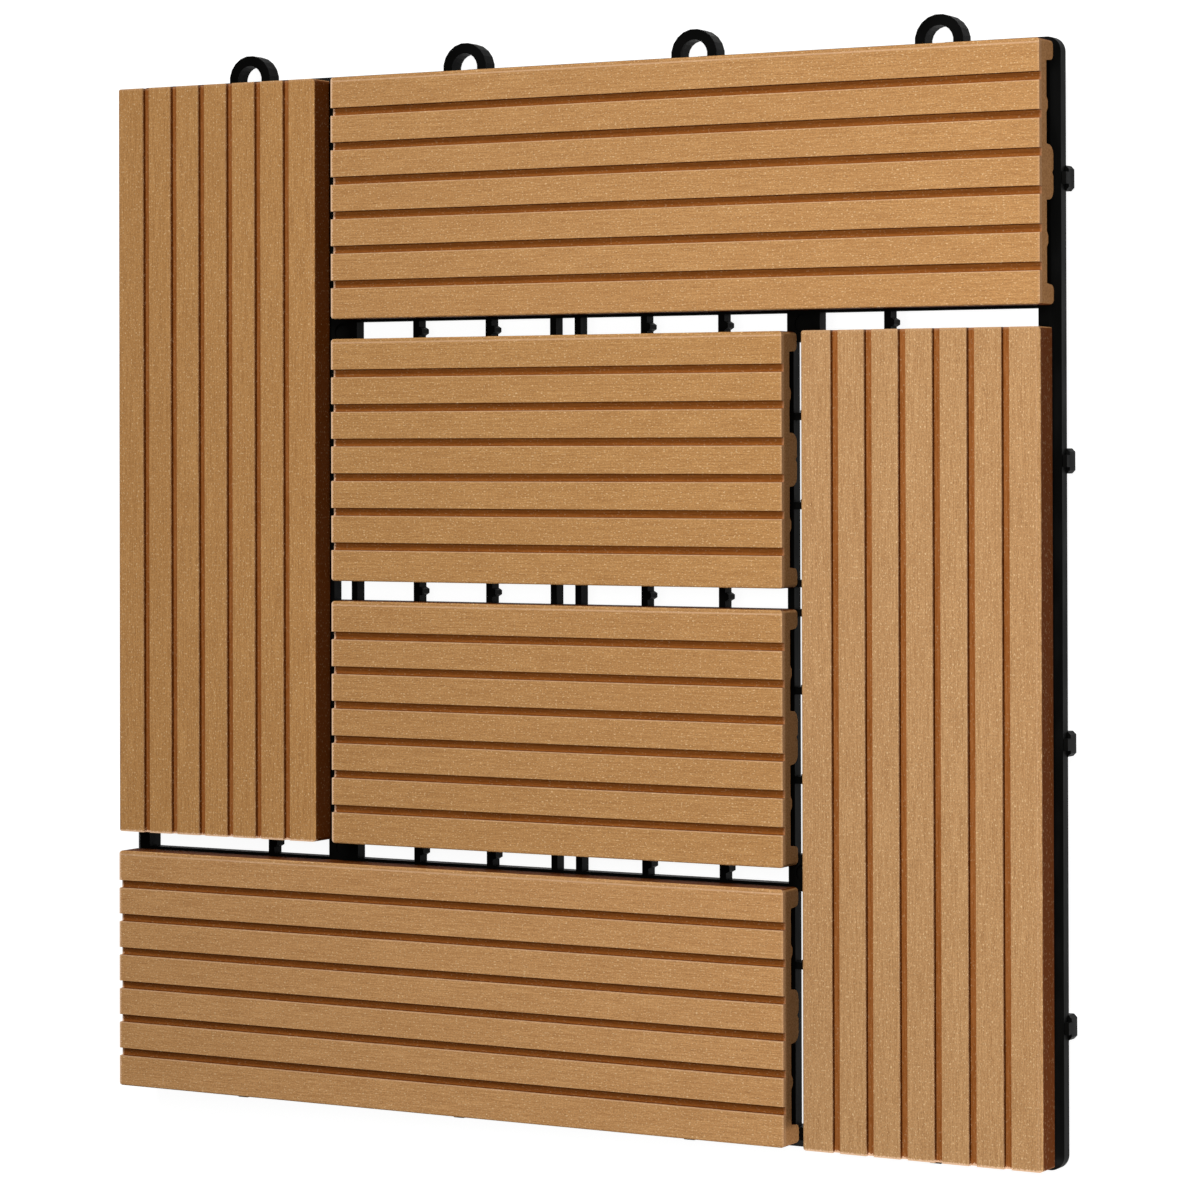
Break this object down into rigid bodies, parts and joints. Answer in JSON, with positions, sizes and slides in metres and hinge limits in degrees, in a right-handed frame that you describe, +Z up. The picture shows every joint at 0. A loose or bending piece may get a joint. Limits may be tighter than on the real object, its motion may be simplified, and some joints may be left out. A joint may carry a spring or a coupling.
{
  "type": "deck tile",
  "caption": "Square interlocking deck tile: grooved wood-composite slats screwed onto a black plastic grid base with loops and pegs at its edges.",
  "frame": {"origin": "on the ground under the middle of the whole tile with its loops and pegs, which is 3.525 mm from the middle of the 300 mm square towards its loops in X and in Y", "axes": "+Z up out of the walking face, +Y to the edge that was uppermost in the picture, +X to its right; loops on the -X and +Y edges, pegs on the +X and -Y edges"},
  "size_m": [0.3094, 0.3094, 0.022],
  "materials": {
    "composite": "brushed wood-plastic composite, light brown",
    "black_plastic": "moulded, faintly glossy",
    "screw_steel": "zinc plated"
  },
  "bodies": {
    "root": {"base_grid": "black_plastic", "left_slat": "composite", "top_slat": "composite", "right_slat": "composite", "bottom_slat": "composite", "upper_middle_slat": "composite", "lower_middle_slat": "composite", "slat_screws": "screw_steel"}
  },
  "joints": []
}
